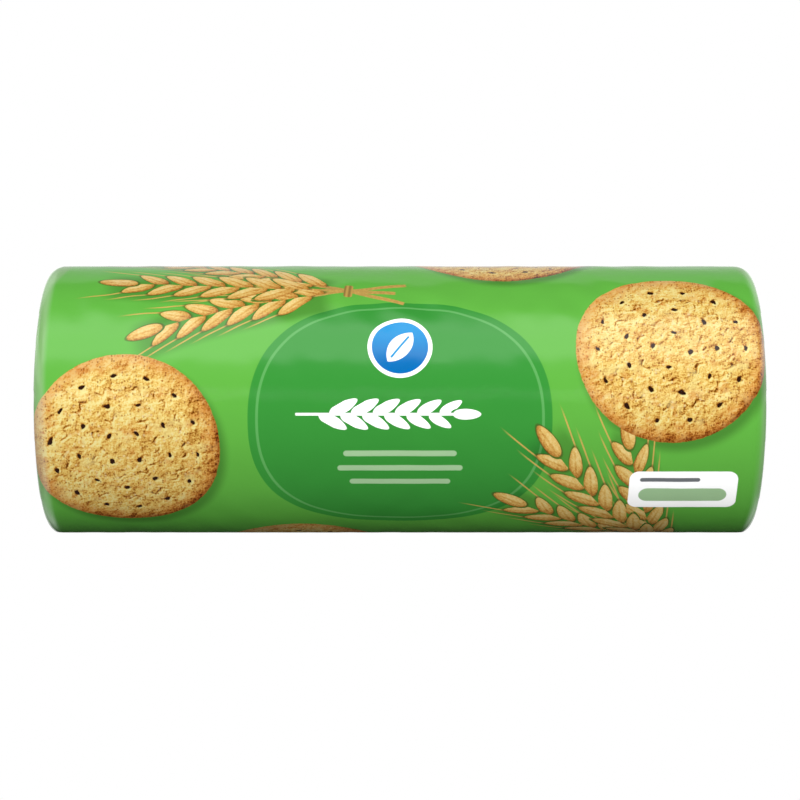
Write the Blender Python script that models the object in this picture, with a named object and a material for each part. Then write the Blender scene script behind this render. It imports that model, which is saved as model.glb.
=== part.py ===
"""Shut roll pack of round biscuits: a film tube lying on its side, its ends folded in pleats.

The tube runs along X, the printed front faces -Y and +Z is up. The origin is the middle of the
narrow flat on which the roll rests. Metres and radians.
"""

import math

import bmesh
import bpy

# Driving dimensions of the roll
TUBE_RADIUS = 0.035
HALF_LENGTH = 0.0904
RIM_ROUNDING = 0.0029
BASE_FLAT_WIDTH = 0.016

# Folds that close both ends
PLEATS = 16
PLEAT_STEP = 0.0008
PLEAT_RAMP = 0.012
PLEAT_UNEVENNESS = 0.22
STEP_SHARE = 0.10
COLUMNS_PER_PLEAT = 5
IRIS_RADIUS = 0.005
HUB_RADIUS = 0.007
DIMPLE_DEPTH = 0.0016
CROWN_HEIGHT = 0.0006

# Back seam, two layers of film folded flat against the tube
SEAM_ANGLE = math.radians(180)
SEAM_WIDTH = 0.0095
SEAM_HEIGHT = 0.00045
SEAM_EDGE_RUN = 0.0003
SEAM_FADE = 0.009

# Mesh resolution
FACE_RADII = (0.0022, 0.0045, HUB_RADIUS, 0.0095, 0.013, 0.0175, 0.0225, 0.0275)
RIM_SEGMENTS = 4
BODY_SEGMENTS = 5
CLOSEST_COLUMNS = math.radians(1.0)

FILM_GREEN = (0.144, 0.533, 0.069, 1.0)
FILM_ROUGHNESS = 0.22

AXIS_HEIGHT = math.sqrt(TUBE_RADIUS**2 - (BASE_FLAT_WIDTH / 2) ** 2)
FACE_RADIUS = TUBE_RADIUS - RIM_ROUNDING


def clear_scene():
    for old in list(bpy.data.objects):
        bpy.data.objects.remove(old, do_unlink=True)


def smooth(share):
    """Eased 0 to 1, flat at both ends."""
    share = min(max(share, 0.0), 1.0)
    return share * share * (3 - 2 * share)


def pleat_start(index):
    """Angle of a pleat's fold edge. Hand-made folds aren't evenly spaced."""
    turn, place = divmod(index, PLEATS)
    uneven = PLEAT_UNEVENNESS * math.sin(2.1 * place + 0.7)
    return 2 * math.pi * (turn + (place + uneven) / PLEATS)


def pleat_strength(index):
    """How far one pleat's edge stands up, as a share of the usual step."""
    return 1 + 0.3 * math.sin(3.7 * (index % PLEATS) + 0.4)


def pleat_at(angle):
    """The pleat that an angle lies in, and how far across it, from 0 to 1."""
    angle %= 2 * math.pi
    for index in range(-1, PLEATS + 1):
        start = pleat_start(index)
        end = pleat_start(index + 1)
        if start <= angle < end:
            return index, (angle - start) / (end - start)
    raise ValueError("no pleat at this angle")


def pleat_columns():
    """Angles of the mesh columns that draw the pleats: one at each side of a step, the rest between."""
    columns = []
    for index in range(PLEATS):
        start = pleat_start(index)
        width = pleat_start(index + 1) - start
        columns.append(start)
        for column in range(COLUMNS_PER_PLEAT - 1):
            share = STEP_SHARE + (1 - STEP_SHARE) * column / (COLUMNS_PER_PLEAT - 1)
            columns.append(start + share * width)
    return columns


def seam_columns():
    """Angles of the back seam's two edges, each with a foot and a top."""
    half = SEAM_WIDTH / 2 / TUBE_RADIUS
    run = SEAM_EDGE_RUN / TUBE_RADIUS
    return [SEAM_ANGLE + offset for offset in (-half - run, -half, half, half + run)]


def base_columns():
    """Angles of the base flat's two edges and its middle line."""
    half = math.asin(BASE_FLAT_WIDTH / 2 / TUBE_RADIUS)
    return [1.5 * math.pi + offset for offset in (-half, 0, half)]


def column_angles():
    """Every column's angle, counted up from the front, with no two too close for a sound face."""
    extremes = [0.0, math.pi / 2]
    fixed = extremes + seam_columns() + base_columns()
    loose = [
        angle % (2 * math.pi)
        for angle in pleat_columns()
        if all(gap_between(angle, other) > CLOSEST_COLUMNS for other in fixed)
    ]
    return sorted(fixed + loose)


def gap_between(angle, other):
    gap = abs(angle - other) % (2 * math.pi)
    return min(gap, 2 * math.pi - gap)


def half_profile():
    """Points (x, radius) of the right half, from the middle of the end face to the last body ring."""
    points = [(HALF_LENGTH, 0.0)]
    points += [(HALF_LENGTH, radius) for radius in FACE_RADII]
    for segment in range(RIM_SEGMENTS + 1):
        turn = 0.5 * math.pi * segment / RIM_SEGMENTS
        x = HALF_LENGTH - RIM_ROUNDING + RIM_ROUNDING * math.cos(turn)
        points.append((x, FACE_RADIUS + RIM_ROUNDING * math.sin(turn)))
    return points


def roll_profile():
    """The whole profile, from the left end's middle to the right end's middle."""
    right = half_profile()
    left = [(-x, radius) for x, radius in right]
    straight = HALF_LENGTH - RIM_ROUNDING
    body = [
        (straight * (2 * ring / BODY_SEGMENTS - 1), TUBE_RADIUS)
        for ring in range(1, BODY_SEGMENTS)
    ]
    return left + body + right[::-1]


def iris_turn(radius):
    """How far a fold edge has turned on its straight way in, which passes beside the middle."""
    inner = max(radius, HUB_RADIUS)
    return math.asin(IRIS_RADIUS / inner) - math.asin(IRIS_RADIUS / TUBE_RADIUS)


def pleat_relief(angle, radius):
    """How far the folded film stands off the end face."""
    index, share = pleat_at(angle)
    if share < STEP_SHARE:
        saw = share / STEP_SHARE
    else:
        saw = (1 - share) / (1 - STEP_SHARE)
    ramp = smooth((TUBE_RADIUS - radius) / PLEAT_RAMP)
    hub = smooth(radius / HUB_RADIUS)
    crown = CROWN_HEIGHT * smooth((TUBE_RADIUS - radius) / (TUBE_RADIUS - HUB_RADIUS))
    dimple = DIMPLE_DEPTH * (1 - smooth(radius / (1.3 * HUB_RADIUS)))
    return PLEAT_STEP * pleat_strength(index) * saw * ramp * hub + crown - dimple


def seam_relief(angle, radius):
    """How far the back seam stands off the tube. It dies away under the folds of the ends."""
    off_middle = gap_between(angle, SEAM_ANGLE) * TUBE_RADIUS - SEAM_WIDTH / 2
    side = min(max(1 - off_middle / SEAM_EDGE_RUN, 0.0), 1.0)
    return SEAM_HEIGHT * side * (1 - smooth((TUBE_RADIUS - radius) / SEAM_FADE))


def film_point(x, radius, angle):
    """Where the film lies, for a point of the plain turned shape."""
    past_rim = abs(x) > HALF_LENGTH - RIM_ROUNDING / 2
    relief = pleat_relief(angle, radius) if past_rim else 0.0
    around = angle + iris_turn(radius) if radius < TUBE_RADIUS else angle
    reach = radius + (seam_relief(angle, radius) if radius > HUB_RADIUS else 0.0)
    y = -reach * math.cos(around)
    z = reach * math.sin(around)
    return x + math.copysign(relief, x), y, max(z, -AXIS_HEIGHT) + AXIS_HEIGHT


def turned_mesh(profile, steps):
    """The profile turned once about the X axis, with each end's points on the axis made one."""
    mesh = bmesh.new()
    verts = [mesh.verts.new((x, -radius, 0.0)) for x, radius in profile]
    edges = [mesh.edges.new(pair) for pair in zip(verts, verts[1:])]
    bmesh.ops.spin(
        mesh,
        geom=verts + edges,
        cent=(0, 0, 0),
        axis=(1, 0, 0),
        angle=-2 * math.pi,
        steps=steps,
        use_merge=True,
    )
    bmesh.ops.remove_doubles(mesh, verts=mesh.verts, dist=1e-7)
    bmesh.ops.recalc_face_normals(mesh, faces=mesh.faces)
    return mesh


def make_roll():
    angles = column_angles()
    mesh = turned_mesh(roll_profile(), len(angles))
    for vert in mesh.verts:
        x, y, z = vert.co
        even_angle = math.atan2(z, -y) % (2 * math.pi)
        column = round(even_angle / (2 * math.pi) * len(angles)) % len(angles)
        vert.co = film_point(x, math.hypot(y, z), angles[column])
    middle = (max(v.co.y for v in mesh.verts) + min(v.co.y for v in mesh.verts)) / 2
    bmesh.ops.translate(mesh, verts=mesh.verts, vec=(0, -middle, 0))
    bmesh.ops.triangulate(mesh, faces=mesh.faces)
    data = bpy.data.meshes.new("biscuit_roll")
    mesh.to_mesh(data)
    mesh.free()
    data.shade_smooth()
    data.set_sharp_from_angle(angle=math.radians(30))
    roll = bpy.data.objects.new("biscuit_roll", data)
    bpy.context.scene.collection.objects.link(roll)
    return roll


def film_material():
    material = bpy.data.materials.new("printed_film")
    material.use_nodes = True
    shader = material.node_tree.nodes["Principled BSDF"]
    shader.inputs["Base Color"].default_value = FILM_GREEN
    shader.inputs["Roughness"].default_value = FILM_ROUGHNESS
    shader.inputs["Metallic"].default_value = 0.0
    return material


clear_scene()
make_roll().data.materials.append(film_material())
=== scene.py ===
"""Looks of a shut roll pack of biscuits that lies on its side: film, print, lights and camera.

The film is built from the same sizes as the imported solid, with finer folds. Its print is drawn by
nodes in millimetres: u runs along the roll from its middle, v runs up round it from its front line.
"""

import math

import bmesh
import bpy
import numpy as np
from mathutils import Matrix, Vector


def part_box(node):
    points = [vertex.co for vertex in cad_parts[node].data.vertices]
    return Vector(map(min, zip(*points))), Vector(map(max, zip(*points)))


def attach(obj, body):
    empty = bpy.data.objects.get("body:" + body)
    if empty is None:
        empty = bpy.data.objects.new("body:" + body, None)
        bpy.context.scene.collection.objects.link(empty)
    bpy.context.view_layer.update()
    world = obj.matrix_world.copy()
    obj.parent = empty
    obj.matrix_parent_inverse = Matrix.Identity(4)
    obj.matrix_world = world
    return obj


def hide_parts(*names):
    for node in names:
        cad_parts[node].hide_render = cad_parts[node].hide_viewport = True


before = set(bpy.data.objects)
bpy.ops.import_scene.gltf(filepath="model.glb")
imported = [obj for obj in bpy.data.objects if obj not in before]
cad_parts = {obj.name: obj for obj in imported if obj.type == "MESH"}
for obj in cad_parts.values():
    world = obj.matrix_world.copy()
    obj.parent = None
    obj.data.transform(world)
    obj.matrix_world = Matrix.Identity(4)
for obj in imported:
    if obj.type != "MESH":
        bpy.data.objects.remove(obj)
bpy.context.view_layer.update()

# Driving dimensions of the roll, in metres, as in its solid
TUBE_RADIUS = 0.035
HALF_LENGTH = 0.0904
RIM_ROUNDING = 0.0029
BASE_FLAT_WIDTH = 0.016
PLEATS = 16
PLEAT_STEP = 0.0008
PLEAT_RAMP = 0.012
PLEAT_UNEVENNESS = 0.22
IRIS_RADIUS = 0.005
HUB_RADIUS = 0.007
DIMPLE_DEPTH = 0.0016
CROWN_HEIGHT = 0.0006
SEAM_ANGLE = math.pi
SEAM_WIDTH = 0.0095
SEAM_HEIGHT = 0.00045

# What the film adds to the solid: a rim that rounds off over a longer reach, slack and creases
RIM_REACH = 0.0036
RIM_DROP = 0.0025
STEP_SHARE = 0.05
STEP_COLUMNS = 5
SLOPE_COLUMNS = 20
FACE_RINGS = 34
RIM_RINGS = 10
BODY_RINGS = 136
HUB_HOLE = 0.0003
BISCUIT_PITCH = 0.0067
UNROUNDNESS = 0.00006
ROUND_WAVES = 8
WAVE_HEIGHT = 0.00004
WAVES = 48
WAVES_ROUND = (4, 22)
SHORTEST_WAVE = 0.009
SLACK_FADE = 0.012
RIB_DEPTH = 0.00003
CREASE_HEIGHT = 0.00009
CREASES_ROUND = (67, 109)
CREASE_BEND = 0.9
FILM_SEED = 11

# Slack round the tube: the share where the film is tight, then for each slack place the degrees up
# from the front, the reach in degrees and the share
CALM_SHARE = 0.12
SLACK_PLACES = ((42, 32, 0.5), (140, 40, 0.5), (222, 40, 0.55))

# Seam strip, crimped all along, with one edge that stands up a little
STRIP_LENGTH_STEP = 0.0004
STRIP_COLUMNS = 12
STRIP_END = 0.0958
STRIP_FOOT = 0.00012
STRIP_WANDER = 0.0003
CRIMP_PITCH = 0.0012
CRIMP_HEIGHT = 0.00005
FREE_EDGE_LIFT = 0.00022

# Camera: level with the roll's axis, dead in front of it
CAMERA_DISTANCE = 0.5801
CAMERA_RISE = 0.0001
SENSOR_WIDTH = 36.0
LENS = 99.85

AXIS_HEIGHT = math.sqrt(TUBE_RADIUS**2 - (BASE_FLAT_WIDTH / 2) ** 2)
FACE_RADIUS = TUBE_RADIUS - RIM_DROP
STRAIGHT = HALF_LENGTH - RIM_REACH
RIM_ARC = (RIM_REACH + RIM_DROP) * math.pi / 4
AXIS_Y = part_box("biscuit_roll")[0].y + TUBE_RADIUS
MM = 1000.0

# Floor: just under the roll's flat, so that the two faces don't share a plane
FLOOR_SIZE = 8.0
FLOOR_DROP = 0.00005
FLOOR_GREY = (0.1, 0.1, 0.1, 1)

# How bright the middle of the front is lit, with a white print as 1, and the dim light from all round
FRONT_LIGHT = 1.7
EVEN_LIGHT = 0.075

# Soft lights, as shares of the front's: name, compass degrees from the front, rise in degrees, size
# in metres and strength
LIGHT_DISTANCE = 1.6
LIGHTS = (
    ("front_low", 0, 5, (1.4, 0.22), 0.82),
    ("front_high", 0, 30, (1.4, 0.4), 0.16),
    ("overhead", 0, 68, (1.4, 0.5), 0.30),
    ("back", 180, 40, (1.4, 0.6), 0.3),
    ("left", -130, 14, (0.8, 0.6), 0.5),
    ("right", 130, 14, (0.8, 0.6), 0.5),
)

# What the film mirrors of the studio. A pair of numbers is where a part of it starts and is full.
# Wall behind the roll and panel above its front, in degrees up from the front and over
WALL_EDGE = (116, 124)
WALL_GLOW = 0.42
WALL_FOOT_EDGE = (138, 160)
WALL_FOOT_GLOW = 0.2
PANEL_LOW_EDGE = (28, 40)
PANEL_TOP_EDGE = (84, 62)
PANEL_SIDE_EDGE = (0.75, 0.55)
PANEL_GLOW = 1.6

# Both ends of the studio: the glow beside the rims, its weaker share further forward, the shares that
# are cut off it, and a bright patch above it
END_LEAN = (0.02, 0.42)
END_SHIFT = 0.24
END_SIDE = (0.14, 0.32)
END_BACK = (0.93, 0.6)
FORWARD_LEAN = (0.55, 0.8)
FORWARD_BACK = (0.3, 0.6)
FORWARD_SHARE = 0.7
END_CUTS = {
    "above": ((0.0, 0.4), 0.45),
    "below": ((-0.15, -0.45), 0.25),
    "lean": ((0.6, 0.85), 0.3),
    "side": ((0.6, 0.75), 0.5),
}
END_GLOW = 1.8
PATCH_SIDE = (0.72, 0.85)
PATCH_FOOT = (0.12, 0.22)
PATCH_TOP = (0.5, 0.4)
PATCH_GLOW = 1.6

# Low down: a fringe behind the roll, a faint glow under its front, and the least there is anywhere
FRINGE_BACK = (0.88, 0.97)
FRINGE_DOWN = (-0.1, -0.3)
FRINGE_GLOW = 0.1
UNDER_DOWN = (0.05, -0.3)
UNDER_BACK = (0.35, 0.0)
UNDER_GLOW = 0.04
LEAST_GLOW = 0.02


def smooth(share):
    """Eased 0 to 1, flat at both ends."""
    share = np.clip(share, 0.0, 1.0)
    return share * share * (3 - 2 * share)


def profile_at(along):
    """x, radius and outward normal of the roll's profile, at a length along it from the middle."""
    side = np.sign(along)
    far = np.abs(along)
    turn = np.clip((far - STRAIGHT) / RIM_ARC, 0.0, 1.0) * math.pi / 2
    x = np.minimum(far, STRAIGHT) + RIM_REACH * np.sin(turn)
    inward = np.maximum(far - STRAIGHT - RIM_ARC, 0.0)
    radius = FACE_RADIUS + RIM_DROP * np.cos(turn) - inward
    out, up = RIM_DROP * np.sin(turn), RIM_REACH * np.cos(turn)
    length = np.hypot(out, up)
    return side * x, radius, side * out / length, up / length


def pleat_starts():
    """Fold edges' angles, from one before the first pleat to one after the last."""
    index = np.arange(-1, PLEATS + 2)
    turn, place = np.divmod(index, PLEATS)
    return 2 * math.pi * (turn + (place + PLEAT_UNEVENNESS * np.sin(2.1 * place + 0.7)) / PLEATS)


def pleat_at(angle):
    """Each angle's pleat, the angle of its fold edge, and how far across it the angle lies."""
    angle = np.mod(angle, 2 * math.pi)
    starts = pleat_starts()
    slot = np.searchsorted(starts, angle + 1e-9) - 1
    share = (angle - starts[slot]) / (starts[slot + 1] - starts[slot])
    return slot - 1, starts[slot], np.clip(share, 0.0, 1.0)


def iris_turn(radius):
    """How far a fold edge has turned on its straight way in, which passes beside the middle."""
    inner = (radius**4 + HUB_RADIUS**4) ** 0.25
    turned = np.arcsin(IRIS_RADIUS / inner) - math.asin(IRIS_RADIUS / TUBE_RADIUS)
    return np.where(radius < TUBE_RADIUS, turned, 0.0)


def pleat_relief(angle, radius):
    """How far the folded film stands off the end face, with the creases that pulling in leaves."""
    pleat, _, share = pleat_at(angle)
    place = np.mod(pleat, PLEATS)
    strength = 1 + 0.3 * np.sin(3.7 * place + 0.4)
    saw = np.where(share < STEP_SHARE, share / STEP_SHARE, (1 - share) / (1 - STEP_SHARE))
    depth = TUBE_RADIUS - radius
    ramp = smooth(depth / PLEAT_RAMP)
    hub = smooth(radius / HUB_RADIUS)
    crown = CROWN_HEIGHT * smooth(depth / (TUBE_RADIUS - HUB_RADIUS))
    dimple = DIMPLE_DEPTH * (1 - smooth(radius / (1.3 * HUB_RADIUS)))
    bend = CREASE_BEND * np.sin(radius * 260 + place * 2.3)
    coarse, fine = CREASES_ROUND
    creases = np.sin(angle * coarse + bend) + 0.7 * np.sin(angle * fine + 1.7 * bend + place)
    creases = creases * CREASE_HEIGHT * smooth((depth - 0.5 * RIM_ROUNDING) / PLEAT_RAMP) * hub
    return PLEAT_STEP * strength * saw * ramp * hub + crown - dimple + creases


def slack_at(angle):
    """How slack the film is round the tube: tight over the top, in front and where it rests."""
    degrees = np.degrees(np.mod(angle, 2 * math.pi))
    slack = CALM_SHARE
    for middle, reach, share in SLACK_PLACES:
        slack = slack + (share - CALM_SHARE) * smooth(1 - np.abs(degrees - middle) / reach)
    return slack


def body_relief(along, angle):
    """Unevenness of the film on the tube: biscuits that sit askew, slack waves and faint ribs."""
    rng = np.random.default_rng(FILM_SEED)
    count = round(2 * HALF_LENGTH / BISCUIT_PITCH)
    place = np.clip(along / (2 * HALF_LENGTH) + 0.5, 0, 1) * count
    index = np.minimum(np.floor(place).astype(int), count)
    blend = smooth((place - index - 0.25) / 0.5)
    relief = np.zeros(np.broadcast(along, angle).shape)
    for wave in range(1, ROUND_WAVES + 1):
        size = UNROUNDNESS / wave**0.5
        cosines, sines = rng.normal(size=(2, count + 2)) * size
        for values, round_wave in ((cosines, np.cos), (sines, np.sin)):
            level = values[index] * (1 - blend) + values[index + 1] * blend
            relief = relief + level * round_wave(wave * angle)
    for wave in range(WAVES):
        around = rng.integers(*WAVES_ROUND)
        pace = rng.uniform(-1, 1) * 2 * math.pi / SHORTEST_WAVE
        phase = rng.uniform(0, 2 * math.pi)
        relief = relief + WAVE_HEIGHT * np.cos(around * angle + pace * along + phase)
    ribs = -RIB_DEPTH * np.cos(math.pi * (place - index - 0.5)) ** 2
    fade = smooth((STRAIGHT - np.abs(along)) / SLACK_FADE)
    return (relief + ribs) * fade * slack_at(angle)


def film_points(along, angle, lift=0.0):
    """Where the film lies, in metres, at lengths along the profile and angles up from the front."""
    x, radius, normal_x, normal_r = profile_at(along)
    past_rim = smooth((np.abs(along) - STRAIGHT) / RIM_ARC)
    off = body_relief(along, angle) + pleat_relief(angle, radius) * past_rim + lift
    around = angle + iris_turn(radius)
    reach = np.maximum(radius + normal_r * off, 0.0)
    height = np.maximum(reach * np.sin(around), -AXIS_HEIGHT) + AXIS_HEIGHT
    shape = np.broadcast(x, around, height).shape
    parts = (x + normal_x * off, AXIS_Y - reach * np.cos(around), height)
    return np.stack([np.broadcast_to(part, shape) for part in parts], axis=-1)


def print_places(along, angle, middle_angle):
    """Where points lie on the flat print, in mm. A fold hides the print between it and the next."""
    _, radius, _, _ = profile_at(along)
    _, start, _ = pleat_at(middle_angle)
    whole = np.where(middle_angle > math.pi, 2 * math.pi, 0.0)
    low = np.where(start > np.mod(middle_angle, 2 * math.pi), start - 2 * math.pi, start)
    width = np.minimum(radius + RIM_DROP, TUBE_RADIUS)
    across = TUBE_RADIUS * (low - whole) + width * (angle - low)
    return np.stack([along * MM + 0 * across, across * MM], axis=-1)


def mesh_object(name, points, quads, places):
    """A smooth mesh from a list of points, quads and the print place of each quad's corners."""
    data = bpy.data.meshes.new(name)
    data.from_pydata(points.tolist(), [], quads.tolist())
    layer = data.uv_layers.new(name="print_mm")
    layer.data.foreach_set("uv", places.reshape(-1).astype(np.float32))
    data.validate()
    data.shade_smooth()
    data.set_sharp_from_angle(angle=math.radians(38))
    made = bpy.data.objects.new(name, data)
    bpy.context.scene.collection.objects.link(made)
    return made


def film_columns():
    """Angles of the film's columns, crowded where the pleats step."""
    starts = pleat_starts()[1 : PLEATS + 2]
    step = np.linspace(0, STEP_SHARE, STEP_COLUMNS, endpoint=False)
    slope = np.linspace(STEP_SHARE, 1, SLOPE_COLUMNS, endpoint=False)
    shares = np.concatenate([step, slope])
    return np.concatenate([a + (b - a) * shares for a, b in zip(starts, starts[1:])])


def film_rings():
    """Lengths along the profile of the film's rings, from one end's middle to the other's."""
    face_end = STRAIGHT + RIM_ARC + FACE_RADIUS - HUB_HOLE
    face = np.linspace(face_end, STRAIGHT + RIM_ARC, FACE_RINGS, endpoint=False)
    rim = np.linspace(STRAIGHT + RIM_ARC, STRAIGHT, RIM_RINGS, endpoint=False)
    half = np.concatenate([face, rim])
    return np.concatenate([-half, np.linspace(-STRAIGHT, STRAIGHT, BODY_RINGS), half[::-1]])


def make_film():
    """The whole film as one closed mesh: a grid of rings and columns, with a cap at each middle."""
    rings, columns = film_rings(), film_columns()
    ring_count, column_count = len(rings), len(columns)
    points = film_points(rings[:, None], columns[None, :]).reshape(-1, 3)
    ring, column = np.meshgrid(np.arange(ring_count - 1), np.arange(column_count), indexing="ij")
    after = (column + 1) % column_count
    corners = ((ring, column), (ring, after), (ring + 1, after), (ring + 1, column))
    quads = np.stack([r * column_count + c for r, c in corners], axis=-1).reshape(-1, 4)
    closed = np.append(columns, columns[0] + 2 * math.pi)
    middles = (closed[:-1] + closed[1:]) / 2
    places = []
    for ring_step, column_step in ((0, 0), (0, 1), (1, 1), (1, 0)):
        along = rings[ring_step : ring_step + ring_count - 1][:, None]
        angle = closed[column_step : column_step + column_count][None, :]
        places.append(print_places(along, angle, middles[None, :]))
    places = np.stack(places, axis=2)
    film = mesh_object("roll_film", points, quads[:, ::-1], places[:, :, ::-1].reshape(-1, 2))
    close_middles(film, column_count)
    return film


def close_middles(film, column_count):
    """Fills the pin hole that is left in the middle of each end."""
    mesh = bmesh.new()
    mesh.from_mesh(film.data)
    open_edges = [edge for edge in mesh.edges if edge.is_boundary]
    filled = bmesh.ops.holes_fill(mesh, edges=open_edges, sides=column_count + 1)
    for face in filled["faces"]:
        face.smooth = True
    mesh.to_mesh(film.data)
    mesh.free()


def make_seam():
    """The back seam: a crimped strip of folded film, as a closed thin solid on top of the film."""
    steps = round(2 * STRIP_END / STRIP_LENGTH_STEP)
    along = np.linspace(-STRIP_END, STRIP_END, steps + 1)[:, None]
    across = np.linspace(-1, 1, STRIP_COLUMNS + 1)[None, :]
    half_angle = SEAM_WIDTH / 2 / TUBE_RADIUS
    wander = STRIP_WANDER / TUBE_RADIUS * np.sin(along * 90)
    angle = SEAM_ANGLE + across * half_angle + wander
    ends = smooth((STRIP_END - np.abs(along)) / (STRIP_END - STRAIGHT))
    edge = smooth((1 - np.abs(across)) * 9)
    crimp = CRIMP_HEIGHT * np.sin(2 * math.pi * along / CRIMP_PITCH) * edge
    free_edge = FREE_EDGE_LIFT * smooth((across - 0.55) / 0.45) * (1 + 0.6 * np.sin(along * 160))
    lift = (SEAM_HEIGHT * (0.55 + 0.45 * edge) + crimp + free_edge) * ends
    top = film_points(along, angle, lift)
    foot = film_points(along, angle, -STRIP_FOOT)
    count = STRIP_COLUMNS + 1
    points = np.concatenate([top.reshape(-1, 3), foot.reshape(-1, 3)])
    foot_start = (steps + 1) * count
    quads, places = [], []

    def place(row, column):
        return (along[row, 0] * MM, (across[0, column] * SEAM_WIDTH / 2 + math.pi * TUBE_RADIUS) * MM)

    def add(*corners):
        """One face, from each corner's row, column and layer: 0 on top, 1 at the foot."""
        quads.append([row * count + column + layer * foot_start for row, column, layer in corners])
        places.append([place(row, column) for row, column, _ in corners])

    last = STRIP_COLUMNS
    for row in range(steps):
        after = row + 1
        for column in range(STRIP_COLUMNS):
            square = ((row, column), (row, column + 1), (after, column + 1), (after, column))
            add(*((r, c, 0) for r, c in square[::-1]))
            add(*((r, c, 1) for r, c in square))
        add((after, 0, 0), (after, 0, 1), (row, 0, 1), (row, 0, 0))
        add((row, last, 0), (row, last, 1), (after, last, 1), (after, last, 0))
    for column in range(STRIP_COLUMNS):
        after = column + 1
        add((0, column, 0), (0, after, 0), (0, after, 1), (0, column, 1))
        add((steps, column, 1), (steps, after, 1), (steps, after, 0), (steps, column, 0))
    return mesh_object("back_seam", points, np.array(quads), np.array(places))


class Field:
    """A number at each point of the surface, so that nodes can be written as formulas."""

    def __init__(self, tree, socket):
        self.tree = tree
        self.socket = socket

    def made(self, operation, *others, clamp=False):
        node = self.tree.nodes.new("ShaderNodeMath")
        node.operation = operation
        node.use_clamp = clamp
        for place, value in enumerate((self, *others)):
            plug(self.tree, node.inputs[place], value)
        return Field(self.tree, node.outputs[0])

    def __add__(self, other):
        return self.made("ADD", other)

    def __sub__(self, other):
        return self.made("SUBTRACT", other)

    def __mul__(self, other):
        return self.made("MULTIPLY", other)

    def __truediv__(self, other):
        return self.made("DIVIDE", other)

    def __rsub__(self, other):
        return self.made("MULTIPLY_ADD", -1.0, other)

    __radd__ = __add__
    __rmul__ = __mul__

    def over(self, limit):
        return self.made("GREATER_THAN", limit)

    def least(self, other):
        return self.made("MINIMUM", other)

    def most(self, other):
        return self.made("MAXIMUM", other)

    def size(self):
        return self.made("ABSOLUTE")

    def whole(self):
        return self.made("FLOOR")

    def wrapped(self, period):
        return self.made("FLOORED_MODULO", period)

    def sine(self):
        return self.made("SINE")

    def clipped(self):
        return self.made("ADD", 0.0, clamp=True)

    def eased(self, low, high):
        """0 at low, 1 at high, smooth between. low may be the larger."""
        node = self.tree.nodes.new("ShaderNodeMapRange")
        node.interpolation_type = "SMOOTHSTEP"
        plug(self.tree, node.inputs["Value"], self)
        if low < high:
            ends = (low, high, 0.0, 1.0)
        else:
            ends = (high, low, 1.0, 0.0)
        for name, value in zip(("From Min", "From Max", "To Min", "To Max"), ends):
            node.inputs[name].default_value = value
        return Field(self.tree, node.outputs["Result"])

    def ramp(self, *stops):
        """A colour by this field's value. Each stop is a value and a colour."""
        node = self.tree.nodes.new("ShaderNodeValToRGB")
        marks = node.color_ramp.elements
        while len(marks) < len(stops):
            marks.new(0.5)
        for mark, (value, colour) in zip(marks, stops):
            mark.position = value
            mark.color = colour
        plug(self.tree, node.inputs[0], self)
        return Field(self.tree, node.outputs["Color"])


class Spot(Field):
    """A place on the print, in mm. Its third number only sets each motif's grain apart."""

    def part(self, name):
        node = self.tree.nodes.new("ShaderNodeSeparateXYZ")
        plug(self.tree, node.inputs[0], self)
        return Field(self.tree, node.outputs[name])

    @property
    def x(self):
        return self.part("X")

    @property
    def y(self):
        return self.part("Y")

    @property
    def z(self):
        return self.part("Z")

    def moved(self, dx, dy, dz=0.0):
        node = self.tree.nodes.new("ShaderNodeVectorMath")
        node.operation = "ADD"
        plug(self.tree, node.inputs[0], self)
        node.inputs[1].default_value = (dx, dy, dz)
        return Spot(self.tree, node.outputs[0])

    def stretched(self, across, up, deep=1.0):
        node = self.tree.nodes.new("ShaderNodeVectorMath")
        node.operation = "MULTIPLY"
        plug(self.tree, node.inputs[0], self)
        node.inputs[1].default_value = (across, up, deep)
        return Spot(self.tree, node.outputs[0])

    def seen_from(self, u, v, turn=0.0, size=1.0, grain=0.0):
        """This place as a motif at (u, v) sees it, turned by some degrees and drawn at a size."""
        node = self.tree.nodes.new("ShaderNodeMapping")
        node.vector_type = "TEXTURE"
        plug(self.tree, node.inputs["Vector"], self)
        node.inputs["Location"].default_value = (u, v, -grain)
        node.inputs["Rotation"].default_value = (0, 0, math.radians(turn))
        node.inputs["Scale"].default_value = (size, size, 1)
        return Spot(self.tree, node.outputs[0])

    def reach(self):
        """Distance from the middle, in the plane of the print."""
        node = self.tree.nodes.new("ShaderNodeVectorMath")
        node.operation = "LENGTH"
        plug(self.tree, node.inputs[0], self.stretched(1, 1, 0))
        return Field(self.tree, node.outputs["Value"])

    def noise(self, scale, detail=2.0, roughness=0.5, warp=0.0):
        node = self.tree.nodes.new("ShaderNodeTexNoise")
        plug(self.tree, node.inputs["Vector"], self)
        node.inputs["Scale"].default_value = scale
        node.inputs["Detail"].default_value = detail
        node.inputs["Roughness"].default_value = roughness
        node.inputs["Distortion"].default_value = warp
        return Field(self.tree, node.outputs["Fac"])

    def cells(self, scale, spread=1.0):
        """Distance to the nearest of many scattered points, and that point's own random number."""
        node = self.tree.nodes.new("ShaderNodeTexVoronoi")
        plug(self.tree, node.inputs["Vector"], self)
        node.inputs["Scale"].default_value = scale
        node.inputs["Randomness"].default_value = spread
        colour = Spot(self.tree, node.outputs["Color"])
        return Field(self.tree, node.outputs["Distance"]), colour.x


def plug(tree, socket, value):
    if isinstance(value, Field):
        tree.links.new(value.socket, socket)
    else:
        socket.default_value = value


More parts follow.
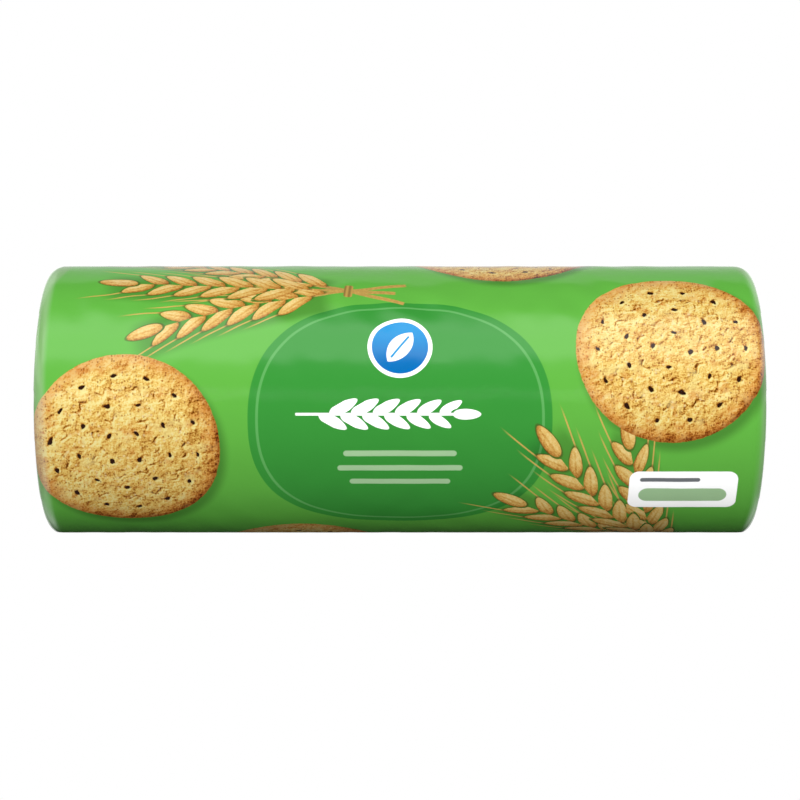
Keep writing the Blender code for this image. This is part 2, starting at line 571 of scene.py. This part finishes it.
def mixed(factor, low, high, kind="RGBA"):
    """low where factor is 0, high where it is 1."""
    tree = next(value.tree for value in (factor, low, high) if isinstance(value, Field))
    node = tree.nodes.new("ShaderNodeMix")
    node.data_type = kind
    names = {"RGBA": "_Color", "VECTOR": "_Vector", "FLOAT": "_Float"}
    sockets = {s.identifier: s for s in list(node.inputs) + list(node.outputs)}
    plug(tree, sockets["Factor_Float"], factor)
    plug(tree, sockets["A" + names[kind]], low)
    plug(tree, sockets["B" + names[kind]], high)
    result = sockets["Result" + names[kind]]
    return Spot(tree, result) if kind == "VECTOR" else Field(tree, result)


def solid(tree, colour):
    """One colour all over, as a field."""
    node = tree.nodes.new("ShaderNodeRGB")
    node.outputs[0].default_value = colour
    return Field(tree, node.outputs[0])


def multiplied(colour, factor):
    """A colour made lighter or darker by a field."""
    node = colour.tree.nodes.new("ShaderNodeVectorMath")
    node.operation = "SCALE"
    plug(colour.tree, node.inputs[0], colour)
    plug(colour.tree, node.inputs["Scale"], factor)
    return Field(colour.tree, node.outputs[0])


def ink(red, green, blue):
    """The print colour that looks like these screen values in the middle of the front."""
    def linear(value):
        value /= 255
        return value / 12.92 if value <= 0.04045 else ((value + 0.055) / 1.055) ** 2.4
    return (*(linear(v) / FRONT_LIGHT for v in (red, green, blue)), 1.0)


# Inks
LIGHT_GREEN = ink(106, 193, 74)
DARK_GREEN = ink(62, 160, 62)
KEYLINE_GREEN = ink(104, 186, 100)
PALE_GREEN = ink(182, 222, 170)
WHITE = (0.93, 0.93, 0.93, 1.0)
BLUE = ink(0, 158, 228)
DEEP_BLUE = ink(0, 118, 196)
GREY = ink(128, 132, 136)
MARK_BLACK = ink(30, 34, 30)
GOLD_LINE = ink(226, 184, 98)
EAR_SHADE = ink(86, 60, 24)
HOLE_BROWN = ink(50, 24, 12)

# Finish of the film: a matt print under a clear coat, with a faint ripple
FILM_FINISH = {
    "Roughness": 0.5,
    "Specular IOR Level": 0.0,
    "Coat Weight": 1.0,
    "Coat Roughness": 0.13,
    "Coat IOR": 1.5,
}
RIPPLE_SCALE = 90
RIPPLE_STRENGTH = 0.12
RIPPLE_HEIGHT = 0.0012

# Print layout, in mm and degrees
BISCUIT_RADIUS = 23.6
BISCUITS = ((-68, -12), (67, 13), (26, 60), (-70, 74), (-25, -62.5), (72, -80), (-72, -84))
BISCUIT_GRAIN = 31.0
SHEAVES = ((-13, 31.5, 176), (70, -58, 125), (70, 88, 172))
SHEAF_GRAIN = 17.0
PANEL = (0, -5)
PANEL_HALF = (37.5, 32.0)
PANEL_SQUARENESS = 2.3
KEYLINE_INSET = 1.9
KEYLINE_HALF = 0.28
ROUNDEL = (0, 13.6)
ROUNDEL_RADIUS = 7.0
ROUNDEL_RING = 1.0
LEAF_TURN = 52
LEAF_RADIUS = 5.9
LEAF_OFFSET = 3.3
VEIN_HALF = (3.6, 0.3)
SPRIG = (-19.5, -3.4)
SPRIG_SIZE = 0.80
RULES = ((0, -13.4, 28), (0, -17.4, 31), (0, -21.4, 25))
RULE_THICKNESS = 1.5
LABEL = (70.5, -24.5)
LABEL_SIZE = (27.0, 12.0)
LABEL_LINE = (-3.4, 3.5, 15.0)
LABEL_LINE_THICKNESS = 1.2
LABEL_BAR = (0.0, -1.4, 22.0)
LABEL_BAR_THICKNESS = 4.4
TABLE = (22, -90)
TABLE_SIZE = (44.0, 18.0)
TABLE_MARGIN = (4, 3)
TABLE_ROW = 2.4
TABLE_SPLIT = 7.0
EYE_MARK = (79.0, 101.0)
EYE_MARK_SIZE = (6.0, 3.4)
SHADOW_FALL = (1.1, -1.8)
SHADOW_DEPTH = 0.42
LIGHT_SIDE = (-0.28, 0.30)
EDGE = 0.12

# Painted highlight on the rims, a pale grey mixed into the colour: lengths along the print in mm, and
# heights in metres
PAINTED_HIGHLIGHT_LEFT = (-86.7, -88.3)
PAINTED_HIGHLIGHT_RIGHT = (88.2, 89.8)
PAINTED_HIGHLIGHT_RIGHT_SHARE = 0.75
PAINTED_HIGHLIGHT_RAGGED = 6.0
PAINTED_HIGHLIGHT_END = (95.0, 91.0)
PAINTED_HIGHLIGHT_FOOT = (0.006, 0.016)
PAINTED_HIGHLIGHT_TOP = (0.0625, 0.0685)
PAINTED_HIGHLIGHT_TOP_SPREAD = 2.5
PAINTED_HIGHLIGHT_SHARE = 0.32
PAINTED_HIGHLIGHT_GREY = ink(186, 194, 170)

# A sheaf of wheat: for each ear, lowest first, its turn, start, size and outward bend
SHEAF_EARS = ((15.0, 7.0, 1.0, 0.0020), (-15.0, 7.0, 1.0, -0.0020), (0.0, 11.0, 1.05, 0.0))
SHEAF_REACH = 62.0
EAR_LENGTH = 42.0
GRAIN_PITCH = 6.6
GRAIN_TILT = math.radians(30)
GRAIN_HALF = (5.2, 1.95)
GRAIN_FOOT = 4.3
TIP_GRAIN = (EAR_LENGTH + 3.0, 4.6, 1.75)
AWN_TILT = math.radians(15)
AWN_BACK = 9.4
STEM_HALF = 0.6
TIE_SIZE = (2.2, 5.2)
GRAIN_TONES = (
    (0.0, ink(92, 46, 16)),
    (0.22, ink(164, 100, 38)),
    (0.42, ink(216, 158, 74)),
    (0.62, ink(243, 200, 112)),
    (0.85, ink(255, 230, 156)),
)


def nearest(spot, places, distance_to, grain_step):
    """The nearest motif's own view of the place, and how far from the motif the place is."""
    best = best_distance = None
    for number, (u, v, *turn) in enumerate(places):
        local = spot.seen_from(u, v, *turn, grain=grain_step * (number + 1))
        distance = distance_to(local)
        if best is None:
            best, best_distance = local, distance
            continue
        best = mixed(best_distance.over(distance), best, local, "VECTOR")
        best_distance = best_distance.least(distance)
    return best, best_distance


def nearest_biscuit(spot):
    return nearest(spot, BISCUITS, Spot.reach, BISCUIT_GRAIN)


def nearest_sheaf(spot):
    def distance(local):
        beyond = (local.x * -1.0).most(local.x - SHEAF_REACH).most(0.0)
        return (beyond * beyond + local.y * local.y).made("SQRT")

    return nearest(spot, SHEAVES, distance, SHEAF_GRAIN)


def ear_views(sheaf):
    """How each ear of a sheaf sees a place, and how far across the bent ear the place is."""
    views = []
    for turn, start, size, bend in SHEAF_EARS:
        angle = math.radians(turn)
        foot = (start * math.cos(angle), start * math.sin(angle))
        local = sheaf.seen_from(*foot, turn, size, grain=turn)
        ahead = local.x.most(0.0)
        views.append((local, local.y - ahead * ahead * bend))
    return views


def grain_drawing(local, across):
    """Fields that draw an ear's grains. The first is 1 at a grain's edge and 0 in its middle."""
    lower = across.made("LESS_THAN", 0.0)
    x = local.x + lower * (GRAIN_PITCH / 2)
    y = across.size()
    sine, cosine = math.sin(GRAIN_TILT), math.cos(GRAIN_TILT)
    foot = ((x - y / math.tan(GRAIN_TILT)) / GRAIN_PITCH).whole() * GRAIN_PITCH + GRAIN_PITCH / 2
    from_foot = x - foot
    along = from_foot * cosine + y * sine - GRAIN_FOOT
    off = y * cosine - from_foot * sine
    shrink = (foot / EAR_LENGTH).most(0.0)
    shrink = 1.0 - shrink * shrink * 0.28
    near = along / (shrink * GRAIN_HALF[0])
    wide = off / ((GRAIN_HALF[1] - along * 0.11) * shrink)
    edge = (near * near + wide * wide).made("SQRT")
    in_ear = foot.over(0.0) * foot.made("LESS_THAN", EAR_LENGTH)
    edge = edge + (1.0 - in_ear) * 9.0
    tip_middle, tip_length, tip_width = TIP_GRAIN
    tip_near = (local.x - tip_middle) / tip_length
    tip_wide = across / (tip_width - tip_near * 0.25)
    tip = (tip_near * tip_near + tip_wide * tip_wide).made("SQRT")
    on_tip = tip.made("LESS_THAN", 1.14)
    light = mixed(lower, near * 0.14 - wide * 0.95, near * 0.9 + wide * 0.4, "FLOAT")
    return {
        "edge": mixed(on_tip, edge, tip, "FLOAT"),
        "near": mixed(on_tip, near, tip_near, "FLOAT"),
        "wide": mixed(on_tip, wide, tip_wide, "FLOAT"),
        "light": mixed(on_tip, light, tip_wide * -0.8, "FLOAT"),
    }


def ear_lines(local, across):
    """Masks of an ear's stem and of its awns, which leave the grains at a low angle."""
    y = across.size()
    lower = across.made("LESS_THAN", 0.0)
    foot = local.x + lower * (GRAIN_PITCH / 2) - y / math.tan(AWN_TILT) + AWN_BACK
    off = ((foot / GRAIN_PITCH).wrapped(1.0) - 0.5).size() * (GRAIN_PITCH * math.sin(AWN_TILT))
    zone = y.eased(3.4, 4.0) * y.eased(7.4, 6.0) * foot.over(0.0)
    zone = zone * foot.made("LESS_THAN", EAR_LENGTH - 2.0)
    stem = y.eased(STEM_HALF + 0.12, STEM_HALF - 0.12)
    stem = stem * local.x.eased(-22.0, -21.5) * local.x.eased(3.0, 2.0)
    return stem, off.eased(0.24, 0.12) * zone


def grain_colours(local, drawing):
    """Golden grain with a groove, lit from the upper left."""
    edge, near, wide = drawing["edge"], drawing["near"], drawing["wide"]
    streak = local.stretched(1.0, 3.0).noise(0.9, detail=4, roughness=0.6)
    mottle = local.noise(2.1, detail=3, roughness=0.65)
    groove = wide.size().eased(0.24, 0.04) * near.size().eased(0.85, 0.4)
    tone = 0.72 - edge * edge * 0.30 + drawing["light"] * 0.24
    tone = tone + (streak - 0.5) * 0.55 + (mottle - 0.5) * 0.6 - groove * 0.2
    return tone.clipped().ramp(*GRAIN_TONES)


def draw_sheaf(spot, colour):
    """Wheat ears tied in a sheaf, the middle one on top."""
    sheaf, _ = nearest_sheaf(spot)
    views = ear_views(sheaf)
    lines = [ear_lines(*view) for view in views]
    stems = lines[0][0].most(lines[1][0]).most(lines[2][0])
    awns = lines[0][1].most(lines[1][1]).most(lines[2][1])
    colour = mixed(awns * 0.9, colour, GOLD_LINE)
    straw = multiplied(solid(spot.tree, GOLD_LINE), sheaf.noise(1.5) * 0.6 + 0.5)
    colour = mixed(stems, colour, straw)
    top, place = None, None
    for local, across in views:
        drawing = grain_drawing(local, across)
        if top is None:
            top, place = drawing, local
            continue
        above = drawing["edge"].made("LESS_THAN", 1.2)
        top = {name: mixed(above, top[name], drawing[name], "FLOAT") for name in top}
        place = mixed(above, place, local, "VECTOR")
    colour = mixed(top["edge"].eased(1.28, 1.0) * 0.65, colour, EAR_SHADE)
    colour = mixed(top["edge"].eased(1.03, 0.96), colour, grain_colours(place, top))
    tie = rounded_box(sheaf, TIE_SIZE, 0.8)
    tie_colour = multiplied(solid(spot.tree, GOLD_LINE), (sheaf.x * 5.0).sine() * 0.2 + 0.62)
    return mixed(inside(tie), colour, tie_colour)


# Biscuits: rings of docking holes and of stamped dashes, each with its radius, count and phase, and
# the tones of the crumb and of its baking
DOCKING_RINGS = ((4.7, 4, 0.3), (11.4, 9, 0.0), (18.2, 14, 0.9))
STAMP_RINGS = ((8.0, 7, 0.5), (14.9, 13, 0.2))
HOLE_SIZE = 0.68
TOASTED = (0.82, 0.50, 0.36)
BURNT = (0.42, 0.24, 0.14)
PALE_CRUMB = ink(255, 234, 150)
LOOSE_CRUMB = ink(255, 238, 186)
CRUMB_TONES = (
    (0.0, ink(84, 36, 10)),
    (0.22, ink(160, 98, 28)),
    (0.40, ink(216, 160, 70)),
    (0.54, ink(240, 196, 100)),
    (0.68, ink(251, 215, 120)),
    (0.88, ink(255, 240, 160)),
)


def ring_place(reach, turn, ring):
    """How far out from a ring a place is, and how far round it from the ring's nearest mark."""
    radius, count, phase = ring
    place = (turn * (count / (2 * math.pi)) + phase).wrapped(1.0) - 0.5
    return reach - radius, place * (2 * math.pi / count * radius)


def docking(local, wobble):
    """Distance to the nearest docking hole, and the mask of the stamped dashes between them."""
    reach = local.reach() + (wobble - 0.5) * 1.6
    turn = local.y.made("ARCTAN2", local.x) + local.z * 1.3 + (wobble - 0.5) * 0.12
    hole = stamp = None
    for ring in DOCKING_RINGS:
        out, around = ring_place(reach, turn, ring)
        distance = (out * out * 1.7 + around * around * 0.8).made("SQRT")
        hole = distance if hole is None else hole.least(distance)
    for ring in STAMP_RINGS:
        out, around = ring_place(reach, turn, ring)
        bow = out + (around * 1.9).sine() * 0.55
        dash = bow.size().eased(0.6, 0.15) * around.size().eased(2.4, 1.9)
        stamp = dash if stamp is None else stamp.most(dash)
    return hole, stamp


def crumb(local):
    """Noises that give a biscuit its crumb: lumps, middling and fine."""
    lumps = local.noise(0.30, detail=2, roughness=0.5, warp=0.3)
    middling = local.noise(0.85, detail=2, roughness=0.5)
    fine = local.noise(2.6, detail=2, roughness=0.6)
    return lumps, middling, fine


def biscuit_height(local, wobble):
    """Relief of a biscuit's face: crumb, docking holes, stamped dashes and a rounded rim."""
    lumps, middling, fine = crumb(local)
    hole, stamp = docking(local, wobble)
    rim = local.reach().eased(BISCUIT_RADIUS - 2.6, BISCUIT_RADIUS + 1.0)
    height = lumps * 1.3 + middling * 0.5 + fine * 0.19
    height = height - hole.eased(HOLE_SIZE + 0.55, HOLE_SIZE - 0.3) * 0.45
    height = height - stamp * 0.30 - rim * 0.8
    return height, (lumps, middling, fine), hole, stamp


def thin_lines(field, width):
    """Mask of the thin wandering lines where a noise crosses its middle."""
    return (field - 0.5).size().eased(width, 0.0)


def tinted(colour, amount, tint):
    """A colour seen through a tint, by an amount from 0 to 1."""
    node = colour.tree.nodes.new("ShaderNodeVectorMath")
    node.operation = "MULTIPLY"
    plug(colour.tree, node.inputs[0], colour)
    plug(colour.tree, node.inputs[1], mixed(amount, (1.0, 1.0, 1.0, 1.0), (*tint, 1.0)))
    return Field(colour.tree, node.outputs[0])


def biscuit_colours(local, reach):
    """A biscuit's face as pictured on the film, with the picture's light from the upper left."""
    wobble = local.noise(0.42, detail=2)
    height, (lumps, middling, fine), hole, stamp = biscuit_height(local, wobble)
    slope = height - biscuit_height(local.moved(*LIGHT_SIDE), wobble)[0]
    tone = slope * 1.15 + (lumps - 0.5) * 0.6 + (middling - 0.5) * 0.4 + (fine - 0.5) * 0.85 + 0.61
    tone = tone + local.x * -0.0020 + local.y * 0.0024 - stamp * 0.06
    colour = tone.clipped().ramp(*CRUMB_TONES)
    # Paler and browner patches
    pale = local.moved(5.0, 3.0).noise(0.24, detail=2, roughness=0.55).eased(0.53, 0.68)
    colour = mixed(pale * 0.5, colour, PALE_CRUMB)
    toast = local.moved(-7.0, 9.0).noise(0.26, detail=3, roughness=0.6).eased(0.52, 0.70)
    colour = tinted(colour, toast * 0.6, TOASTED)
    # Rim, browned all round and darkest on the side away from the light
    ragged = (local.noise(0.4, detail=3) - 0.5) * 5.0
    baked = (reach + ragged).eased(BISCUIT_RADIUS - 5.4, BISCUIT_RADIUS - 0.2)
    colour = tinted(colour, baked * 0.8, TOASTED)
    away = (local.x - local.y) / (1.4 * BISCUIT_RADIUS) * 0.5 + 0.5
    side = (reach + ragged * 0.12).eased(BISCUIT_RADIUS - 1.5, BISCUIT_RADIUS - 0.2)
    colour = tinted(colour, side * away.clipped() * 0.75, BURNT)
    # Cracks, bran, flecks and loose crumbs
    cracks = thin_lines(local.noise(0.62, detail=3, roughness=0.5, warp=0.8), 0.014)
    cracks = cracks * local.moved(3.0, 1.0).noise(0.3, detail=1).eased(0.5, 0.62)
    colour = tinted(colour, cracks * 0.6, BURNT)
    distance, chance = local.stretched(1.0, 1.6).cells(0.72)
    colour = tinted(colour, distance.eased(0.30, 0.18) * chance.over(0.82) * 0.8, TOASTED)
    near_rim = reach.eased(8.0, BISCUIT_RADIUS)
    distance, chance = local.stretched(1.3, 1.0).moved(9.0, 4.0).cells(1.15)
    fleck = distance.eased(0.42, 0.2) * (chance + near_rim * 0.22).over(0.8)
    colour = tinted(colour, fleck * 0.8, BURNT)
    distance, chance = local.moved(-6.0, 7.0).cells(1.0)
    crumbs = distance.eased(0.5, 0.1) * chance.over(0.8) * reach.eased(20.0, 14.0)
    colour = mixed(crumbs * 0.5, colour, LOOSE_CRUMB)
    return mixed(hole.eased(HOLE_SIZE + 0.12, HOLE_SIZE - 0.16), colour, HOLE_BROWN)


def rounded_box(spot, size, radius):
    """Distance outside a box with rounded corners, below 0 inside."""
    x = spot.x.size() - (size[0] / 2 - radius)
    y = spot.y.size() - (size[1] / 2 - radius)
    out_x, out_y = x.most(0.0), y.most(0.0)
    return (out_x * out_x + out_y * out_y).made("SQRT") + x.most(y).least(0.0) - radius


def inside(distance):
    """Mask of where a distance is below 0, with a soft printed edge."""
    return distance.eased(EDGE, -EDGE)


def panel_distance(spot):
    """Distance from the edge of the central oval, a little squarer than an ellipse."""
    local = spot.seen_from(*PANEL)
    across = (local.x / PANEL_HALF[0]).size().made("POWER", PANEL_SQUARENESS)
    up = (local.y / PANEL_HALF[1]).size().made("POWER", PANEL_SQUARENESS)
    return ((across + up).made("POWER", 1 / PANEL_SQUARENESS) - 1.0) * min(PANEL_HALF)


def draw_ground(spot):
    """Light green film with the dark oval panel and its keyline."""
    drift = spot.noise(0.02, detail=1)
    ground = multiplied(solid(spot.tree, LIGHT_GREEN), drift * 0.08 + 0.96)
    distance = panel_distance(spot)
    ground = mixed(inside(distance), ground, DARK_GREEN)
    keyline = (distance + KEYLINE_INSET).size() - KEYLINE_HALF
    return mixed(inside(keyline), ground, KEYLINE_GREEN)


def draw_roundel(spot, colour):
    """Plain blue disc in a white ring, with one white leaf."""
    local = spot.seen_from(*ROUNDEL)
    reach = local.reach()
    colour = mixed(inside(reach - (ROUNDEL_RADIUS + ROUNDEL_RING)), colour, WHITE)
    fill = mixed(local.y.eased(-5.0, 6.0), DEEP_BLUE, BLUE)
    colour = mixed(inside(reach - ROUNDEL_RADIUS), colour, fill)
    leaf = local.seen_from(0, 0, LEAF_TURN)
    bulge = (leaf.y.size() + LEAF_OFFSET).made("POWER", 2.0) + leaf.x * leaf.x
    blade = bulge.made("SQRT") - LEAF_RADIUS
    vein = (leaf.y.size() - VEIN_HALF[1]).most(leaf.x.size() - VEIN_HALF[0])
    colour = mixed(inside(blade), colour, WHITE)
    return mixed(inside(vein), colour, BLUE)


def draw_sprig(spot, colour):
    """White wheat ear lying across the panel."""
    local = spot.seen_from(*SPRIG, 0, SPRIG_SIZE)
    drawing = grain_drawing(local, local.y)
    spine = local.y.size().eased(0.5, 0.3) * local.x.eased(-8.0, -7.5)
    spine = spine * local.x.made("LESS_THAN", EAR_LENGTH)
    return mixed(drawing["edge"].eased(0.98, 0.88).most(spine), colour, WHITE)


def draw_bars(spot, colour, bars, thickness, tint):
    """Thin rounded bars, each given by its middle and length."""
    for u, v, length in bars:
        bar = rounded_box(spot.seen_from(u, v), (length, thickness), thickness / 2)
        colour = mixed(inside(bar), colour, tint)
    return colour


def draw_label(spot, colour):
    """White rounded label with plain bars."""
    local = spot.seen_from(*LABEL)
    colour = mixed(inside(rounded_box(local, LABEL_SIZE, 2.4)), colour, WHITE)
    colour = draw_bars(local, colour, (LABEL_LINE,), LABEL_LINE_THICKNESS, GREY)
    return draw_bars(local, colour, (LABEL_BAR,), LABEL_BAR_THICKNESS, PALE_GREEN)


def draw_table(spot, colour):
    """White information table on the back, with thin grey rules."""
    local = spot.seen_from(*TABLE)
    colour = mixed(inside(rounded_box(local, TABLE_SIZE, 1.6)), colour, WHITE)
    field_size = [size - margin for size, margin in zip(TABLE_SIZE, TABLE_MARGIN)]
    field = rounded_box(local, field_size, 1.0)
    rule = ((local.y / TABLE_ROW).wrapped(1.0) - 0.5).size() * TABLE_ROW - 0.16
    split = (local.x - TABLE_SPLIT).size() - 0.2
    lines = inside(rule.least(split)) * inside(field)
    return mixed(lines, colour, GREY)


def draw_eye_mark(spot, colour):
    """Small dark mark beside the seam, where the film is cut to length."""
    mark = rounded_box(spot.seen_from(*EYE_MARK), EYE_MARK_SIZE, 0.1)
    return mixed(inside(mark), colour, MARK_BLACK)


def motif_shade(spot):
    """Soft shade that biscuits and ears cast on the print, down and to the right."""
    fallen = spot.moved(-SHADOW_FALL[0], -SHADOW_FALL[1])
    _, reach = nearest_biscuit(fallen)
    shade = reach.eased(BISCUIT_RADIUS + 1.9, BISCUIT_RADIUS - 1.2)
    sheaf, _ = nearest_sheaf(fallen)
    for local, across in ear_views(sheaf):
        ends = local.x.eased(-3.0, 2.0) * local.x.eased(EAR_LENGTH + 9.0, EAR_LENGTH + 3.0)
        shade = shade.most(across.size().eased(6.6, 3.6) * ends * 0.8)
    return shade


def draw_painted_highlight(spot, colour):
    """Painted highlight: a pale grey over both rims, weaker on the right and least underneath."""
    node = spot.tree.nodes.new("ShaderNodeTexCoord")
    height = Spot(spot.tree, node.outputs["Object"]).z
    spread = height.eased(*PAINTED_HIGHLIGHT_TOP) * PAINTED_HIGHLIGHT_TOP_SPREAD
    left = (spot.x - spread).eased(*PAINTED_HIGHLIGHT_LEFT)
    right = (spot.x + spread).eased(*PAINTED_HIGHLIGHT_RIGHT) * PAINTED_HIGHLIGHT_RIGHT_SHARE
    rim_highlight = left.most(right)
    ragged = (spot.noise(0.3, detail=3) - 0.5) * PAINTED_HIGHLIGHT_RAGGED
    rim_highlight = rim_highlight * (spot.x.size() + ragged).eased(*PAINTED_HIGHLIGHT_END) * height.eased(*PAINTED_HIGHLIGHT_FOOT)
    return mixed(rim_highlight * PAINTED_HIGHLIGHT_SHARE, colour, PAINTED_HIGHLIGHT_GREY)


def draw_print(tree):
    """The whole print's colour, with a painted highlight over the rims on top."""
    node = tree.nodes.new("ShaderNodeUVMap")
    node.uv_map = "print_mm"
    spot = Spot(tree, node.outputs[0])
    colour = draw_ground(spot)
    colour = draw_roundel(spot, colour)
    colour = draw_sprig(spot, colour)
    colour = draw_bars(spot, colour, RULES, RULE_THICKNESS, PALE_GREEN)
    colour = multiplied(colour, 1.0 - motif_shade(spot) * SHADOW_DEPTH)
    colour = draw_sheaf(spot, colour)
    biscuit, reach = nearest_biscuit(spot)
    ragged = (biscuit.noise(0.5, detail=3, roughness=0.6) - 0.5) * 0.5
    colour = mixed(inside(reach + ragged - BISCUIT_RADIUS), colour, biscuit_colours(biscuit, reach))
    colour = draw_label(spot, colour)
    colour = draw_table(spot, colour)
    colour = draw_eye_mark(spot, colour)
    # Painted highlight over both rims, mixed in on top of the print
    return draw_painted_highlight(spot, colour)


def film_material():
    """Clear-coated printed film."""
    material = bpy.data.materials.new("printed_film")
    material.use_nodes = True
    tree = material.node_tree
    shader = tree.nodes["Principled BSDF"]
    plug(tree, shader.inputs["Base Color"], draw_print(tree))
    for name, value in FILM_FINISH.items():
        shader.inputs[name].default_value = value
    place = tree.nodes.new("ShaderNodeTexCoord")
    ripple = tree.nodes.new("ShaderNodeTexNoise")
    ripple.inputs["Scale"].default_value = RIPPLE_SCALE
    ripple.inputs["Detail"].default_value = 3
    bump = tree.nodes.new("ShaderNodeBump")
    bump.inputs["Strength"].default_value = RIPPLE_STRENGTH
    bump.inputs["Distance"].default_value = RIPPLE_HEIGHT
    tree.links.new(place.outputs["Object"], ripple.inputs["Vector"])
    tree.links.new(ripple.outputs["Fac"], bump.inputs["Height"])
    for way in ("Normal", "Coat Normal"):
        tree.links.new(bump.outputs["Normal"], shader.inputs[way])
    return material


def make_stage():
    """A wide pale floor: white seen straight, and grey to the light that it throws back."""
    bpy.ops.mesh.primitive_plane_add(size=FLOOR_SIZE, location=(0, 0, -FLOOR_DROP))
    floor = bpy.context.object
    floor.name = "floor"
    floor.visible_glossy = False
    material = bpy.data.materials.new("pale_floor")
    material.use_nodes = True
    tree = material.node_tree
    tree.nodes.clear()
    out = tree.nodes.new("ShaderNodeOutputMaterial")
    paths = tree.nodes.new("ShaderNodeLightPath")
    glow = tree.nodes.new("ShaderNodeEmission")
    sheet = tree.nodes.new("ShaderNodeBsdfDiffuse")
    sheet.inputs["Color"].default_value = FLOOR_GREY
    choice = tree.nodes.new("ShaderNodeMixShader")
    tree.links.new(paths.outputs["Is Camera Ray"], choice.inputs[0])
    tree.links.new(sheet.outputs[0], choice.inputs[1])
    tree.links.new(glow.outputs[0], choice.inputs[2])
    tree.links.new(choice.outputs[0], out.inputs["Surface"])
    floor.data.materials.append(material)


def end_glow(way, side):
    """How bright both ends of the studio are in a direction, for the film to mirror."""
    lean = side / ((1.0 - way.y) * 2.0).made("SQRT")
    ends = (lean - way.x.over(0.0) * END_SHIFT).eased(*END_LEAN) * side.eased(*END_SIDE)
    forward = lean.eased(*FORWARD_LEAN) * way.y.eased(*FORWARD_BACK) * FORWARD_SHARE
    ends = (ends * way.y.eased(*END_BACK)).most(forward)
    fields = {"above": way.z, "below": way.z, "lean": lean, "side": side}
    for name, (edges, share) in END_CUTS.items():
        ends = ends * (1.0 - fields[name].eased(*edges) * share)
    patch = side.eased(*PATCH_SIDE) * way.z.eased(*PATCH_FOOT) * way.z.eased(*PATCH_TOP)
    return ends * END_GLOW + patch * PATCH_GLOW


def studio_glow(way):
    """How bright the studio is in a direction, for the film to mirror."""
    climb = way.z.made("ARCTAN2", way.y * -1.0) * (180 / math.pi)
    side = way.x.size()
    wall = climb.eased(*WALL_EDGE) * WALL_GLOW + climb.eased(*WALL_FOOT_EDGE) * WALL_FOOT_GLOW
    panel = climb.eased(*PANEL_LOW_EDGE) * climb.eased(*PANEL_TOP_EDGE)
    panel = panel * side.eased(*PANEL_SIDE_EDGE) * PANEL_GLOW
    fringe = way.y.eased(*FRINGE_BACK) * way.z.eased(*FRINGE_DOWN) * FRINGE_GLOW
    under = way.z.eased(*UNDER_DOWN) * way.y.eased(*UNDER_BACK) * UNDER_GLOW
    return wall + panel + end_glow(way, side) + fringe + under + LEAST_GLOW


def make_world():
    """White seen straight, a studio to reflections, and a dim even light to the rest."""
    world = bpy.data.worlds.new("studio")
    bpy.context.scene.world = world
    world.use_nodes = True
    world.cycles.sampling_method = "NONE"
    tree = world.node_tree
    background = tree.nodes["Background"]
    place = tree.nodes.new("ShaderNodeTexCoord")
    way = Spot(tree, place.outputs["Generated"])
    paths = tree.nodes.new("ShaderNodeLightPath")
    seen = Field(tree, paths.outputs["Is Camera Ray"])
    mirrored = Field(tree, paths.outputs["Is Glossy Ray"])
    unseen = mixed(mirrored, EVEN_LIGHT, studio_glow(way), "FLOAT")
    strength = mixed(seen, unseen, 1.0, "FLOAT")
    plug(tree, background.inputs["Strength"], strength)
    background.inputs["Color"].default_value = (1, 1, 1, 1)


def add_light(name, compass, rise, size, strength):
    """A soft light that the film doesn't mirror. Strength 1 makes a white print just white."""
    data = bpy.data.lights.new(name, "AREA")
    data.shape = "RECTANGLE"
    data.size, data.size_y = size
    data.energy = strength * FRONT_LIGHT * (math.pi * LIGHT_DISTANCE) ** 2
    light = bpy.data.objects.new(name, data)
    flat = math.cos(math.radians(rise))
    way = Vector((
        flat * math.sin(math.radians(compass)),
        -flat * math.cos(math.radians(compass)),
        math.sin(math.radians(rise)),
    ))
    light.location = Vector((0, AXIS_Y, AXIS_HEIGHT)) + way * LIGHT_DISTANCE
    light.rotation_euler = way.to_track_quat("Z", "Y").to_euler()
    light.visible_glossy = False
    light.visible_camera = False
    bpy.context.scene.collection.objects.link(light)


def make_camera():
    data = bpy.data.cameras.new("camera")
    data.lens = LENS
    data.sensor_width = SENSOR_WIDTH
    data.clip_start = 0.01
    camera = bpy.data.objects.new("camera", data)
    camera.location = (0, AXIS_Y - CAMERA_DISTANCE, AXIS_HEIGHT + CAMERA_RISE)
    camera.rotation_euler = (math.pi / 2, 0, 0)
    bpy.context.scene.collection.objects.link(camera)
    bpy.context.scene.camera = camera


film = make_film()
seam = make_seam()
coat = film_material()
for piece in (film, seam):
    piece.data.materials.append(coat)
    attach(piece, "root")
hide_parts("biscuit_roll")

make_stage()
make_world()
for light in LIGHTS:
    add_light(*light)
make_camera()
bpy.context.scene.view_settings.view_transform = "Standard"
